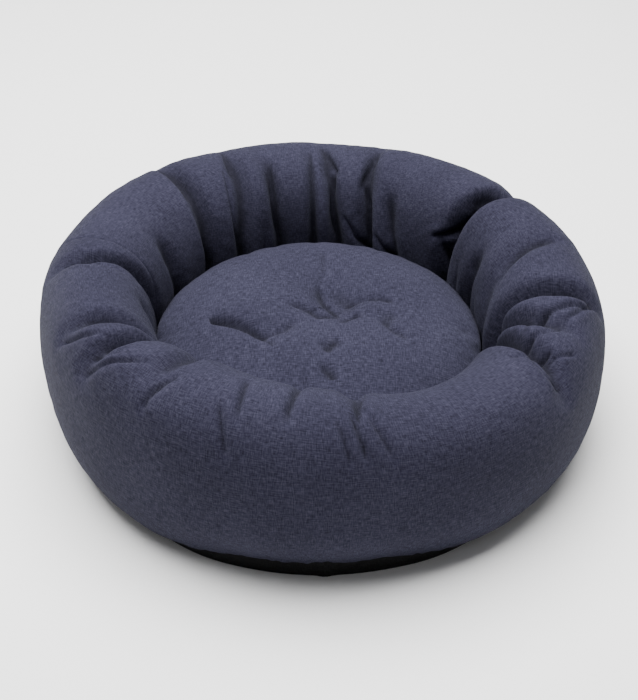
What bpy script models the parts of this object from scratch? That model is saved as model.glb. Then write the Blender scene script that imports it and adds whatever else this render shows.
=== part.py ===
"""Round pet cushion bed: a stuffed ring sewn to a non-slip base, with a lift-out centre cushion.

Metres, +Z up. The origin is on the floor under the middle of the bed, and the front of the bed faces -Y.
The ring's cover closes with a zip round the back of its base seam, and the cushion's cover with a zip
round the back of its side seam. Both zips run on circles about the Z axis.
"""

from math import acos, asin, cos, hypot, pi, radians, sin

import bmesh
import bpy
from mathutils import Matrix, Vector
from mathutils.bvhtree import BVHTree

# The ring: a tube of stuffed cloth whose section is a superellipse, squarer on its outer side.
BED_RADIUS = 0.355
BED_HEIGHT = 0.222
RING_WIDTH = 0.148
RING_WAIST_HEIGHT = 0.105
RING_FLATTENING = 0.003
OUTER_UPPER_POWER = 2.4
INNER_UPPER_POWER = 2.3
INNER_LOWER_POWER = 2.0
OUTER_LOWER_POWER = 2.8

# Cloth and seams.
COVER_CLOTH = 0.0015
BASE_CLOTH = 0.0020
LINER_CLOTH = 0.0008
LINER_SLIT_ANGLE = radians(1)
FILL_GAP = 0.0005
SEAM_GAP = 0.0004
REST_GAP = 0.0004
BASE_SEAM_HEIGHT = 0.024
SIDE_SEAM_AZIMUTH = radians(-12)
BINDING_WIDTH = 0.012
BINDING_CLOTH = 0.0008

# The centre cushion, a plump round pad that clears the narrowest part of the ring.
CUSHION_CLEARANCE = 0.0025
CUSHION_WAIST_HEIGHT = 0.092
CUSHION_TOP = 0.136
CUSHION_FLATTENING = 0.004
CUSHION_UPPER_POWER = 2.3
CUSHION_LOWER_POWER = 3.0
CUSHION_SEAM_HEIGHT = 0.040
DIMPLE_DEPTH = 0.018
DIMPLE_SPREAD = 0.050
TACK_PLACE = Vector((0.030, 0.026, 0.0))
TACK_RADIUS = 0.0011
TACK_KNOT_RADIUS = 0.0030
TACK_KNOT_HEIGHT = 0.0018
TACK_CLEARANCE = 0.0006
TACK_RECESS = 0.006

# The zips, in a frame on the seam: "up" runs along the cloth and "out" away from it.
ZIP_EDGE_GAP = 0.00045
ZIP_HEM = 0.0006
ZIP_TAPE_WIDTH = 0.0110
ZIP_TAPE_CLOTH = 0.0006
ZIP_COIL_WIDTH = 0.0024
ZIP_COIL_HEIGHT = 0.0018
ZIP_CHAIN_GAP = 0.0017
ZIP_POCKET = 0.0040
ZIP_POCKET_ANGLE = radians(40)
ZIP_TAPER = radians(7.5)
ZIP_STOP_LENGTH = 0.0025
ZIP_STOP_WIDTH = 0.0050
BASE_ZIP_ARC = (radians(0), radians(157.5))
CUSHION_ZIP_ARC = (radians(30), radians(150))

# The zips' sliders and pulls.
SLIDER_LENGTH = 0.0110
SLIDER_WIDTH = 0.0080
SLIDER_PLATE = 0.0010
SLIDER_RUNNING_GAP = 0.0014
SLIDER_WEB = 0.0005
BAIL_LENGTH = 0.0064
BAIL_WIDTH = 0.0015
PULL_BAR = 0.0012
PULL_GAP = 0.0006
PULL_LENGTH = 0.0170
PULL_WIDTH = 0.0055

# The blank care label, sewn into the cushion's seam beside its zip.
LABEL_AZIMUTH = radians(186)
LABEL_WIDTH = 0.034
LABEL_LENGTH = 0.022
LABEL_CLOTH = 0.0006

# Facets.
TURN_STEP = radians(7.5)
SECTION_STEP = radians(30)
CUSHION_RINGS = (0.18, 0.36, 0.62, 0.88)

FULL_TURN = 2 * pi
RING_CENTRE = BED_RADIUS - RING_WIDTH / 2
WELL_RADIUS = BED_RADIUS - RING_WIDTH
CUSHION_RADIUS = WELL_RADIUS - CUSHION_CLEARANCE
CUSHION_FLOOR = BASE_CLOTH + REST_GAP
ZIP_OPENING = 2 * (ZIP_COIL_WIDTH + ZIP_EDGE_GAP) + ZIP_CHAIN_GAP
TAPE_DEPTH = max(COVER_CLOTH, BASE_CLOTH) + REST_GAP
TAPE_BACK = TAPE_DEPTH + ZIP_TAPE_CLOTH
COIL_BOTTOM = SEAM_GAP - TAPE_DEPTH
COIL_TOP = COIL_BOTTOM + ZIP_COIL_HEIGHT
FRONT_PLATE = COIL_TOP + SLIDER_RUNNING_GAP
BACK_PLATE = -TAPE_BACK - SLIDER_RUNNING_GAP
PIVOT = FRONT_PLATE + SLIDER_PLATE + PULL_GAP + PULL_BAR / 2

PALETTE = {
    "slate_cloth": ((0.062, 0.066, 0.112), 0.92, 0.0),
    "black_cloth": ((0.006, 0.006, 0.006), 0.85, 0.0),
    "white_cloth": ((0.78, 0.78, 0.76), 0.90, 0.0),
    "fibre": ((0.86, 0.86, 0.85), 0.95, 0.0),
    "navy_tape": ((0.020, 0.022, 0.040), 0.85, 0.0),
    "navy_nylon": ((0.024, 0.026, 0.045), 0.45, 0.0),
    "nickel": ((0.55, 0.54, 0.52), 0.30, 1.0),
    "satin": ((0.80, 0.80, 0.78), 0.55, 0.0),
}


def material(name, finish):
    """A Principled material of its own for one sub-part."""
    colour, roughness, metallic = PALETTE[finish]
    made = bpy.data.materials.new(f"{name}_{finish}")
    made.use_nodes = True
    shader = made.node_tree.nodes["Principled BSDF"]
    shader.inputs["Base Color"].default_value = (*colour, 1.0)
    shader.inputs["Roughness"].default_value = roughness
    shader.inputs["Metallic"].default_value = metallic
    made.diffuse_color = (*colour, 1.0)
    return made


# Sections


class Section:
    """A superellipse outline in (radius, height), with its own power in each quadrant.

    It is read by an angle t: 0 is the outermost point, 90 degrees the top, 180 the innermost point.
    It is cut flat at its floor. All the pieces that share a section have their corners at its marks.
    """

    def __init__(self, centre, half_width, top, floor, flattening, powers, seam_height, marks):
        self.centre_r, self.centre_z = centre
        self.half_width = half_width
        self.rise = top - self.centre_z
        self.drop = self.centre_z - floor + flattening
        self.floor = floor
        self.powers = powers
        self.seam = -self.angle_at(seam_height, powers[(False, True)])
        hem = ZIP_OPENING / 2 + ZIP_HEM
        reach = ZIP_CHAIN_GAP / 2 + ZIP_TAPE_WIDTH
        beside = [self.along(self.seam, d) for d in (-reach, -hem, hem, reach)]
        clear = radians(8)
        kept = [m for m in marks if not beside[0] - clear < m < beside[-1] + clear]
        self.marks = sorted([*kept, *beside])

    def angle_at(self, height, power):
        """The angle below the waist at which a lower quadrant of this power has this height."""
        return asin(((self.centre_z - height) / self.drop) ** (power / 2))

    def point(self, t, inset=0.0):
        """The outline's point at t, moved in by inset along its normal."""
        upper, outer = sin(t) >= 0, cos(t) >= 0
        half_height = self.rise if upper else self.drop
        power = self.powers[(upper, outer)]
        x = abs(cos(t)) ** (2 / power)
        z = abs(sin(t)) ** (2 / power)
        normal = Vector((x ** (power - 1) / self.half_width, z ** (power - 1) / half_height))
        normal.normalize()
        side = 1 if outer else -1
        level = 1 if upper else -1
        r = self.centre_r + side * (x * self.half_width - inset * normal.x)
        height = self.centre_z + level * (z * half_height - inset * normal.y)
        return r, max(height, self.floor + inset)

    def along(self, t, distance):
        """The angle at this distance further up the outline."""
        speed = (Vector(self.point(t + 1e-3)) - Vector(self.point(t - 1e-3))).length / 2e-3
        return t + distance / speed

    def seam_frame(self):
        """The seam's point, the direction up the cloth and the outward normal, as (radius, height)."""
        up = Vector(self.point(self.seam + 1e-4)) - Vector(self.point(self.seam - 1e-4))
        up.normalize()
        return Vector(self.point(self.seam)), up, Vector((up.y, -up.x))

    def angles(self, start, end):
        inner = [m for m in self.marks if start + 1e-3 < m < end - 1e-3]
        return [start, *inner, end]

    def run(self, start, end, inset=0.0):
        """The outline's points from start to end, which may lie either way round."""
        points = [self.point(t, inset) for t in self.angles(min(start, end), max(start, end))]
        return points if start <= end else points[::-1]


def four_powers(outer_upper, inner_upper, inner_lower, outer_lower):
    keys = ((True, True), (True, False), (False, False), (False, True))
    return dict(zip(keys, (outer_upper, inner_upper, inner_lower, outer_lower)))


def cushion_marks():
    """Angles that space the cushion's rings evenly from its middle to its edge."""
    upper = [acos(f ** (CUSHION_UPPER_POWER / 2)) for f in CUSHION_RINGS]
    lower = [-acos(f ** (CUSHION_LOWER_POWER / 2)) for f in CUSHION_RINGS]
    return [*lower, 0.0, *upper]


RING = Section(
    (RING_CENTRE, RING_WAIST_HEIGHT),
    RING_WIDTH / 2,
    BED_HEIGHT,
    0.0,
    RING_FLATTENING,
    four_powers(OUTER_UPPER_POWER, INNER_UPPER_POWER, INNER_LOWER_POWER, OUTER_LOWER_POWER),
    BASE_SEAM_HEIGHT,
    [k * SECTION_STEP for k in range(-3, 10)],
)
CUSHION = Section(
    (0.0, CUSHION_WAIST_HEIGHT),
    CUSHION_RADIUS,
    CUSHION_TOP,
    CUSHION_FLOOR,
    CUSHION_FLATTENING,
    four_powers(CUSHION_UPPER_POWER, CUSHION_UPPER_POWER, CUSHION_LOWER_POWER, CUSHION_LOWER_POWER),
    CUSHION_SEAM_HEIGHT,
    cushion_marks(),
)


# Azimuths


def turn_marks(arc):
    """A full turn's azimuths: even steps, with a zip's ends and the ends of its tapes among them."""
    start, end = arc
    ends = [a % FULL_TURN for a in (start - ZIP_TAPER, start, end, end + ZIP_TAPER)]
    steps = [k * TURN_STEP for k in range(round(FULL_TURN / TURN_STEP))]
    apart = [s for s in steps if all(abs((s - a + pi) % FULL_TURN - pi) > TURN_STEP / 4 for a in ends)]
    return sorted([*apart, *ends])


def turn_between(marks, start, end):
    """The marks from start to end, where end may pass a full turn."""
    unrolled = [m + k * FULL_TURN for k in (-1, 0, 1) for m in marks]
    return [start, *(m for m in unrolled if start + 1e-4 < m < end - 1e-4), end]


def half_opening(azimuth, arc):
    """Half the gap between two cloth edges: wide where the zip is, and closed elsewhere."""
    start, end = arc
    turned = (azimuth - start + 1e-6) % FULL_TURN
    return (ZIP_OPENING if turned <= end - start + 2e-6 else SEAM_GAP) / 2


# Mesh helpers


def add_object(name, bm, finish, parent=None):
    bmesh.ops.remove_doubles(bm, verts=bm.verts, dist=1e-6)
    bmesh.ops.recalc_face_normals(bm, faces=bm.faces)
    mesh = bpy.data.meshes.new(name)
    bm.to_mesh(mesh)
    bm.free()
    mesh.materials.append(material(name, finish))
    mesh.shade_smooth()
    mesh.set_sharp_from_angle(angle=radians(40))
    made = bpy.data.objects.new(name, mesh)
    made.parent = parent
    bpy.context.scene.collection.objects.link(made)
    return made


def add_empty(name, place, turn=0.0, parent=None):
    made = bpy.data.objects.new(name, None)
    made.location = place
    made.rotation_euler.z = turn
    made.parent = parent
    bpy.context.scene.collection.objects.link(made)
    return made


def fill_facet(bm, ring, following, k, after, radii):
    """Two triangles, split the same way on any two surfaces that lie on each other."""
    near, far = (ring[k], ring[after]), (following[k], following[after])
    if radii[k] > radii[after]:
        bm.faces.new((near[0], near[1], far[1]))
        bm.faces.new((near[0], far[1], far[0]))
    else:
        bm.faces.new((near[0], near[1], far[0]))
        bm.faces.new((near[1], far[1], far[0]))


def lathe(name, outline, azimuths, finish, parent=None, shaped=None):
    """Turns the closed outline(azimuth) about Z, right round if the last azimuth nears the first."""
    closed = azimuths[0] + FULL_TURN - azimuths[-1] < 1.5 * (azimuths[1] - azimuths[0])
    bm = bmesh.new()
    rings = []
    for azimuth in azimuths:
        turn = Matrix.Rotation(azimuth, 3, "Z")
        rings.append([bm.verts.new(turn @ Vector((r, 0, z))) for r, z in outline(azimuth)])
    radii = [r for r, _ in outline(azimuths[0])]
    pairs = list(zip(rings, rings[1:]))
    if closed:
        pairs.append((rings[-1], rings[0]))
    for ring, following in pairs:
        for k in range(len(ring)):
            fill_facet(bm, ring, following, k, (k + 1) % len(ring), radii)
    if not closed:
        bm.faces.new(rings[0])
        bm.faces.new(rings[-1][::-1])
    if shaped:
        for vert in bm.verts:
            vert.co = shaped(vert.co)
    return add_object(name, bm, finish, parent)


def box(name, size, centre, finish, bevel=0.0):
    bm = bmesh.new()
    bmesh.ops.create_cube(bm, size=1.0)
    bmesh.ops.scale(bm, vec=size, verts=bm.verts)
    bmesh.ops.translate(bm, vec=centre, verts=bm.verts)
    if bevel:
        bmesh.ops.bevel(bm, geom=bm.edges, offset=bevel, segments=1, profile=0.5, affect="EDGES")
    return add_object(name, bm, finish)


def cut_through(target, place, radius, finish):
    """Bores a round hole straight down through target."""
    bm = bmesh.new()
    depth = 2 * BED_HEIGHT
    bmesh.ops.create_cone(bm, cap_ends=True, segments=12, radius1=radius, radius2=radius, depth=depth)
    bore = add_object(f"cut_{target.name}", bm, finish, target.parent)
    bore.location = place
    combine(target, bore, "DIFFERENCE")


def combine(target, tool, operation):
    """A Boolean that keeps its tool as a hidden guide."""
    tool.hide_render = True
    tool.display_type = "WIRE"
    modifier = target.modifiers.new(f"{operation.lower()}_{tool.name}", "BOOLEAN")
    modifier.operation = operation
    modifier.solver = "EXACT"
    modifier.object = tool


# The ring

RING_TURN = turn_marks(BASE_ZIP_ARC)
INNER_SEAM = pi + RING.angle_at(BASE_CLOTH + REST_GAP, INNER_LOWER_POWER)


def cover_outline(azimuth):
    start = RING.along(RING.seam, half_opening(azimuth, BASE_ZIP_ARC))
    return [*RING.run(start, INNER_SEAM), *RING.run(INNER_SEAM, start, COVER_CLOTH)]


def base_outline(azimuth):
    """A flat disc whose rim turns up the outside of the ring to the base seam."""
    rim = RING.along(RING.seam, -half_opening(azimuth, BASE_ZIP_ARC))
    foot = -RING.angle_at(0.0, OUTER_LOWER_POWER)
    under = RING.run(foot, rim)
    over = RING.run(rim, foot, BASE_CLOTH)
    return [(0.0, 0.0), *under, *over, (0.0, BASE_CLOTH)]


def liner_loop(extra):
    """The liner's section from one side of its closing slit to the other, drawn in beside the zip."""
    points = []
    for t in RING.angles(LINER_SLIT_ANGLE - pi / 2, 3 * pi / 2 - LINER_SLIT_ANGLE):
        beside_zip = max(0.0, 1.0 - abs(t - RING.seam) / ZIP_POCKET_ANGLE)
        points.append(RING.point(t, TAPE_DEPTH + ZIP_POCKET * beside_zip + extra))
    return points


def make_bolster_covers():
    half_gap = SEAM_GAP / WELL_RADIUS / 2
    for side, start in (("back", SIDE_SEAM_AZIMUTH), ("front", SIDE_SEAM_AZIMUTH + pi)):
        azimuths = turn_between(RING_TURN, start + half_gap, start + pi - half_gap)
        lathe(f"bolster_cover_{side}", cover_outline, azimuths, "slate_cloth")


def make_base_panel():
    lathe("base_panel", base_outline, RING_TURN, "black_cloth")


def make_seam_binding():
    """A tape on the base, along the foot of the ring's inner wall."""
    low = BASE_CLOTH + REST_GAP
    high = low + BINDING_CLOTH
    edge = RING.point(pi + RING.angle_at(high + REST_GAP, INNER_LOWER_POWER))[0] - REST_GAP
    section = [(edge - BINDING_WIDTH, low), (edge, low), (edge, high), (edge - BINDING_WIDTH, high)]
    lathe("inner_seam_binding", lambda _: section, RING_TURN, "navy_tape")


def make_bolster_stuffing():
    liner = [*liner_loop(0.0), *liner_loop(LINER_CLOTH)[::-1]]
    lathe("bolster_liner", lambda _: liner, RING_TURN, "white_cloth")
    fill = liner_loop(LINER_CLOTH + FILL_GAP)
    lathe("bolster_fill", lambda _: fill, RING_TURN, "fibre")


# The cushion

CUSHION_TURN = turn_marks(CUSHION_ZIP_ARC)


def tufted(point):
    """Draws the cushion's top down and its underside up round the tack."""
    away = hypot(point.x - TACK_PLACE.x, point.y - TACK_PLACE.y)
    near = 1 / (1 + (away / DIMPLE_SPREAD) ** 2) ** 2
    above = (point.z - CUSHION_SEAM_HEIGHT) / (CUSHION_TOP - CUSHION_SEAM_HEIGHT)
    below = (CUSHION_SEAM_HEIGHT - point.z) / (CUSHION_SEAM_HEIGHT - CUSHION_FLOOR)
    drop = DIMPLE_DEPTH * max(0.0, above) - TACK_RECESS * max(0.0, below)
    return Vector((point.x, point.y, point.z - drop * near))


def cushion_top_outline(azimuth):
    edge = CUSHION.along(CUSHION.seam, half_opening(azimuth, CUSHION_ZIP_ARC))
    return [*CUSHION.run(edge, pi / 2), *CUSHION.run(pi / 2, edge, COVER_CLOTH)]


def cushion_bottom_outline(azimuth):
    edge = CUSHION.along(CUSHION.seam, -half_opening(azimuth, CUSHION_ZIP_ARC))
    return [*CUSHION.run(-pi / 2, edge), *CUSHION.run(edge, -pi / 2, COVER_CLOTH)]


def cushion_fill_outline():
    """The stuffing's section, drawn in beside the zip."""
    points = []
    for t in CUSHION.angles(-pi / 2, pi / 2):
        beside_zip = max(0.0, 1.0 - abs(t - CUSHION.seam) / ZIP_POCKET_ANGLE)
        depth = COVER_CLOTH + FILL_GAP
        points.append(CUSHION.point(t, depth + (ZIP_POCKET + TAPE_DEPTH - COVER_CLOTH) * beside_zip))
    return points


def surface_height(target, from_above):
    """The height of target's outer surface under or over the rim of the tack's knot."""
    bpy.context.view_layer.update()
    tree = BVHTree.FromObject(target, bpy.context.evaluated_depsgraph_get())
    start, heading = (1.0, -1.0) if from_above else (-1.0, 1.0)
    heights = []
    for k in range(12):
        angle = k * FULL_TURN / 12
        spot = TACK_PLACE + TACK_KNOT_RADIUS * Vector((cos(angle), sin(angle), 0))
        heights.append(tree.ray_cast(Vector((spot.x, spot.y, start)), Vector((0, 0, heading)))[0].z)
    return max(heights) if from_above else min(heights)


def make_tack(top_panel, bottom_panel, parent):
    """The thread that ties the cushion's top to its bottom, with a knot at each end."""
    above = surface_height(top_panel, True) + REST_GAP
    below = surface_height(bottom_panel, False) - REST_GAP
    rim = TACK_KNOT_RADIUS * 0.7
    profile = [
        (0.0, below - TACK_KNOT_HEIGHT),
        (rim, below - TACK_KNOT_HEIGHT),
        (TACK_KNOT_RADIUS, below - TACK_KNOT_HEIGHT / 2),
        (TACK_KNOT_RADIUS, below),
        (TACK_RADIUS, below),
        (TACK_RADIUS, above),
        (TACK_KNOT_RADIUS, above),
        (TACK_KNOT_RADIUS, above + TACK_KNOT_HEIGHT / 2),
        (rim, above + TACK_KNOT_HEIGHT),
        (0.0, above + TACK_KNOT_HEIGHT),
    ]
    steps = [k * FULL_TURN / 12 for k in range(12)]
    tack = lathe("cushion_tack", lambda _: profile, steps, "navy_tape", parent)
    tack.location = TACK_PLACE


def make_label(parent):
    """A folded label that hangs from the cushion's seam."""
    seam, _, out = CUSHION.seam_frame()
    hinge = seam + out * REST_GAP
    size = (LABEL_CLOTH, LABEL_WIDTH, LABEL_LENGTH)
    label = box("cushion_care_label", size, (LABEL_CLOTH / 2, 0, -LABEL_LENGTH / 2), "satin")
    label.parent = parent
    label.location = Matrix.Rotation(LABEL_AZIMUTH, 3, "Z") @ Vector((hinge.x, 0, hinge.y))
    label.rotation_euler.z = LABEL_AZIMUTH


def make_cushion(lift):
    top = lathe("cushion_top_panel", cushion_top_outline, CUSHION_TURN, "slate_cloth", lift, tufted)
    bottom = lathe(
        "cushion_bottom_panel", cushion_bottom_outline, CUSHION_TURN, "slate_cloth", lift, tufted
    )
    loop = cushion_fill_outline()
    fill = lathe("cushion_fill", lambda _: loop, CUSHION_TURN, "fibre", lift, tufted)
    make_tack(top, bottom, lift)
    for pad in (top, bottom, fill):
        cut_through(pad, TACK_PLACE, TACK_RADIUS + TACK_CLEARANCE, "fibre")
    make_label(lift)


# The zips


def set_on_seam(part, section, carrier, lift=0.0):
    """Stands a part, drawn with X along the zip, Y up the cloth and Z outwards, on its carrier."""
    seam, up, out = section.seam_frame()
    place = out * lift
    part.parent = carrier
    part.matrix_local = Matrix(
        (
            (0, up.x, out.x, seam.x + place.x),
            (1, 0, 0, 0),
            (0, up.y, out.y, place.y),
            (0, 0, 0, 1),
        )
    )


def make_slider(name, section, carrier):
    """Two plates joined by a web between the coils, with a bail over the front plate."""
    bail_top = PIVOT + PULL_BAR / 2 + PULL_GAP
    plate_top = FRONT_PLATE + SLIDER_PLATE
    plate = (SLIDER_LENGTH, SLIDER_WIDTH, SLIDER_PLATE)
    edge = SLIDER_PLATE / 4
    slider = box(name, plate, (0, 0, plate_top - SLIDER_PLATE / 2), "nickel", edge)
    back = box(f"add_{name}_back", plate, (0, 0, BACK_PLATE - SLIDER_PLATE / 2), "nickel", edge)
    web_low, web_high = BACK_PLATE - SLIDER_PLATE / 2, plate_top - SLIDER_PLATE / 2
    web_size = (SLIDER_LENGTH * 0.4, SLIDER_WEB, web_high - web_low)
    web_place = (SLIDER_LENGTH * 0.25, 0, (web_high + web_low) / 2)
    web = box(f"add_{name}_web", web_size, web_place, "nickel")
    bail_size = (BAIL_LENGTH, BAIL_WIDTH, bail_top + PULL_BAR - web_high)
    bail = box(f"add_{name}_bail", bail_size, (0, 0, (bail_top + PULL_BAR + web_high) / 2), "nickel")
    hole_size = (BAIL_LENGTH - 2 * PULL_BAR, BAIL_WIDTH * 2, bail_top - plate_top)
    hole = box(f"cut_{name}_bail", hole_size, (0, 0, (bail_top + plate_top) / 2), "nickel")
    combine(bail, hole, "DIFFERENCE")
    for extra in (back, web, bail):
        combine(slider, extra, "UNION")
    for part in (slider, back, web, bail, hole):
        set_on_seam(part, section, carrier)


def make_pull(name, section, carrier):
    """A flat tab whose end bar passes under the slider's bail."""
    reach = hypot(BAIL_LENGTH / 2, PULL_BAR * 1.5 + PULL_GAP) + PULL_GAP
    middle = (PULL_BAR - PULL_LENGTH) / 2
    pull = box(name, (PULL_LENGTH, PULL_WIDTH, PULL_BAR), (middle, 0, 0), "nickel", PULL_BAR / 5)
    hole_length = reach - PULL_BAR / 2
    hole_size = (hole_length, BAIL_WIDTH + 2 * PULL_GAP, PULL_BAR * 2)
    hole = box(f"cut_{name}", hole_size, (-PULL_BAR / 2 - hole_length / 2, 0, 0), "nickel")
    combine(pull, hole, "DIFFERENCE")
    for part in (pull, hole):
        set_on_seam(part, section, carrier, PIVOT)


def make_stop(name, section, azimuth, parent):
    """A clip across both coils' ends."""
    size = (ZIP_STOP_LENGTH, ZIP_STOP_WIDTH, ZIP_COIL_HEIGHT)
    stop = box(name, size, (0, 0, COIL_BOTTOM + ZIP_COIL_HEIGHT / 2), "nickel", ZIP_COIL_HEIGHT / 5)
    carrier = add_empty(f"{name}_carrier", (0, 0, section.seam_frame()[0].y), azimuth, parent)
    set_on_seam(stop, section, carrier)


def make_tape(name, section, side, marks, arc, parent):
    """One tape, which follows the cloth's inner face from the chain outwards."""
    near = section.along(section.seam, side * ZIP_CHAIN_GAP / 2)
    far = section.along(section.seam, side * (ZIP_CHAIN_GAP / 2 + ZIP_TAPE_WIDTH))
    outline = [*section.run(near, far, TAPE_DEPTH), *section.run(far, near, TAPE_BACK)]
    azimuths = turn_between(marks, arc[0] - ZIP_TAPER, arc[1] + ZIP_TAPER)
    lathe(name, lambda _: outline, azimuths, "navy_tape", parent)


def make_coil(name, section, side, marks, arc, parent):
    """One coil of teeth, as a plain strip beside the chain's middle."""
    seam, up, out = section.seam_frame()
    near, far = side * ZIP_CHAIN_GAP / 2, side * (ZIP_CHAIN_GAP / 2 + ZIP_COIL_WIDTH)
    corners = ((near, COIL_BOTTOM), (far, COIL_BOTTOM), (far, COIL_TOP), (near, COIL_TOP))
    outline = [tuple(seam + up * a + out * b) for a, b in corners]
    lathe(name, lambda _: outline, turn_between(marks, *arc), "navy_nylon", parent)


def make_zip(prefix, section, marks, arc, parent=None):
    """Two tapes, two coils, a stop at each end, and a slider at the closed end with its pull."""
    start, end = arc
    seam = section.seam_frame()[0]
    for side_name, side in (("upper", 1), ("lower", -1)):
        make_tape(f"{prefix}_zip_tape_{side_name}", section, side, marks, arc, parent)
        make_coil(f"{prefix}_zip_coil_{side_name}", section, side, marks, arc, parent)
    stop_turn = (ZIP_STOP_LENGTH / 2 + SEAM_GAP) / seam.x
    make_stop(f"{prefix}_zip_top_stop", section, end + stop_turn, parent)
    make_stop(f"{prefix}_zip_bottom_stop", section, start - stop_turn, parent)
    slider_turn = (SLIDER_LENGTH / 2 + SEAM_GAP) / seam.x
    carrier = add_empty(f"{prefix}_zip_turn", (0, 0, seam.y), end - slider_turn, parent)
    make_slider(f"{prefix}_zip_slider", section, carrier)
    make_pull(f"{prefix}_zip_pull", section, carrier)


def main():
    for existing in list(bpy.data.objects):
        bpy.data.objects.remove(existing)
    make_base_panel()
    make_bolster_covers()
    make_bolster_stuffing()
    make_seam_binding()
    make_zip("base", RING, RING_TURN, BASE_ZIP_ARC)
    lift = add_empty("cushion_lift", (0, 0, 0))
    make_cushion(lift)
    make_zip("cushion", CUSHION, CUSHION_TURN, CUSHION_ZIP_ARC, lift)


main()
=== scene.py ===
"""Looks of the round pet cushion bed: gathered ring, tufted centre cushion, black base and zips."""

from math import cos, pi, radians, sin

import bmesh
import bpy
import numpy as np
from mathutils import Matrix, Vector
from mathutils.bvhtree import BVHTree


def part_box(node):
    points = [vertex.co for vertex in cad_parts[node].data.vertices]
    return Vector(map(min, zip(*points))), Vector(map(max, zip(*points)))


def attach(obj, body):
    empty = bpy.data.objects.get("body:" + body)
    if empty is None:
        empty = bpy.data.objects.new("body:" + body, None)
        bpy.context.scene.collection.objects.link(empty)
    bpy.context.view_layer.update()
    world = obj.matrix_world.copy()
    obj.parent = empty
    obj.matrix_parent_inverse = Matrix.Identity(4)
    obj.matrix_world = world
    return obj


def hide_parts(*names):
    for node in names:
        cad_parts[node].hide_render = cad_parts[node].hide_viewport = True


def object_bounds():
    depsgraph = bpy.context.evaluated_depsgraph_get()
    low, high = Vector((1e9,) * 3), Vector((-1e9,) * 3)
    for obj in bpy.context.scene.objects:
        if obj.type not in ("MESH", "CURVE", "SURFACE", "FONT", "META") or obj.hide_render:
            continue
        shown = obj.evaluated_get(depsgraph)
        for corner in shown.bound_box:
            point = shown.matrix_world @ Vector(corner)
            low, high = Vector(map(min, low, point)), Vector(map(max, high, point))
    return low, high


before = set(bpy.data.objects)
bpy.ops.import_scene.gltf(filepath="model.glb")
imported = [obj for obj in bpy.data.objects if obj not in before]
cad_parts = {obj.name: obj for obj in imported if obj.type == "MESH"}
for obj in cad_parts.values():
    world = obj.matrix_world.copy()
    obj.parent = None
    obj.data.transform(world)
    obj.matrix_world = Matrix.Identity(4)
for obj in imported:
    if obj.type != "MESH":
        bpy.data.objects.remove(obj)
CAD_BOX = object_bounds()

# ---------------------------------------------------------------- sizes, in metres

BED_RADIUS = CAD_BOX[1][0]
BED_HEIGHT = CAD_BOX[1][2]
WELL_RADIUS = 0.207
WAIST = 0.105
SINK = 0.003
# The section's roundness over the outer and inner crest and under the inner and outer waist. 2 is an ellipse.
RING_POWERS = (2.4, 2.3, 2.0, 2.8)

BACK_SEAM_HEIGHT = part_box("base_panel")[1].z
NOTCH = radians(-88.5)
NOTCH_WIDTH = radians(1.6)
NOTCH_RISE = 0.0045
TUCK = 0.018
BASE_RIM_LEAN = 0.005
BASE_RIM_SETBACK = 0.0012
BASE_CLOTH = 0.002
CORNERS = ((radians(-150), radians(-126)), (radians(-54), radians(-34)))
CORNER_TAPER = radians(24)
CORNER_DIP = 0.018

SIDE_SEAMS = (168, 348)
SIDE_SEAM_DEPTH = 0.0016
SIDE_SEAM_WIDTH = 0.0016
HEM = 0.0015
HEM_RUN = (0.001, 0.002, 0.003, 0.007)

ZIP_ARC = (radians(0), radians(157.5))
ZIP_TAPER = radians(7.5)
ZIP_LEVEL_TAPER = radians(25)
ZIP_HALF_OPENING = 0.0037
ZIP_CHAIN_GAP = 0.0017
ZIP_COIL_WIDTH = 0.0024
ZIP_COIL_HEIGHT = 0.0018
ZIP_COIL_DEPTH = 0.0011
ZIP_PITCH = 0.0020
ZIP_WIRE = 0.0003

CUSHION_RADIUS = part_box("cushion_top_panel")[1].x
CUSHION_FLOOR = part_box("cushion_bottom_panel")[0].z
CUSHION_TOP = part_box("cushion_top_panel")[1].z
CUSHION_WAIST = 0.092
CUSHION_SEAM = 0.040
CUSHION_FLATTENING = 0.004
CUSHION_POWERS = (2.3, 2.3, 3.0, 3.0)
CUSHION_ZIP_ARC = (radians(30), radians(150))
TACK_LOW, TACK_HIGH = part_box("cushion_tack")
TUFT = (TACK_LOW + TACK_HIGH) / 2

TACK_CLEARANCE = 0.0018
TUFT_GRIP = 0.007

LINING_PASSES = 6
LINING_STEP = 0.0015
LINING_STEPS = 40
LINING_GAP = 0.006
# Painted shade in the creases: the smoothing passes that find them, the crease depth that gets the full
# painted shade, and how strong that painted shade is.
PAINTED_SHADE_PASSES = 30
PAINTED_SHADE_DEPTH = 0.0035
PAINTED_CREASE_SHADE = 0.68
WEAVE_PITCH = 0.0013

RING_COLUMNS = 360
RING_ROWS = 88
CUSHION_COLUMNS = 240
CUSHION_ROWS = 80
SECTION_STEPS = 4000
FULL_TURN = 2 * pi


def smooth(x, low=0.0, high=1.0):
    """0 below low, 1 above high and an S-curve between."""
    t = np.clip((x - low) / (high - low), 0.0, 1.0)
    return t * t * (3 - 2 * t)


def turned(a):
    """An angle in radians brought into the half turn either side of zero."""
    return (a + pi) % FULL_TURN - pi


def turned_degrees(angle):
    return (angle + 180) % 360 - 180


def waves(theta, middle, terms):
    """middle plus a few waves round the bed, each (waves in a turn, height, azimuth of a crest)."""
    return middle + sum(height * np.cos(count * (theta - radians(at))) for count, height, at in terms)


def outer_radius(theta):
    """How far the ring's outer wall reaches at its waist."""
    return waves(theta, 0.3487, ((1, 0.003, -164), (2, 0.0125, -53), (3, 0.0064, 0)))


def crest_height(theta):
    """The height of the ring's top."""
    return waves(theta, 0.2134, ((1, 0.0090, -120), (2, 0.0150, 44), (3, 0.0044, 3)))


def at_corners(theta):
    """1 at the two front corners, where the cover rolls down to the floor."""
    return sum(inside_arc(theta, arc, CORNER_TAPER) for arc in CORNERS)


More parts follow.
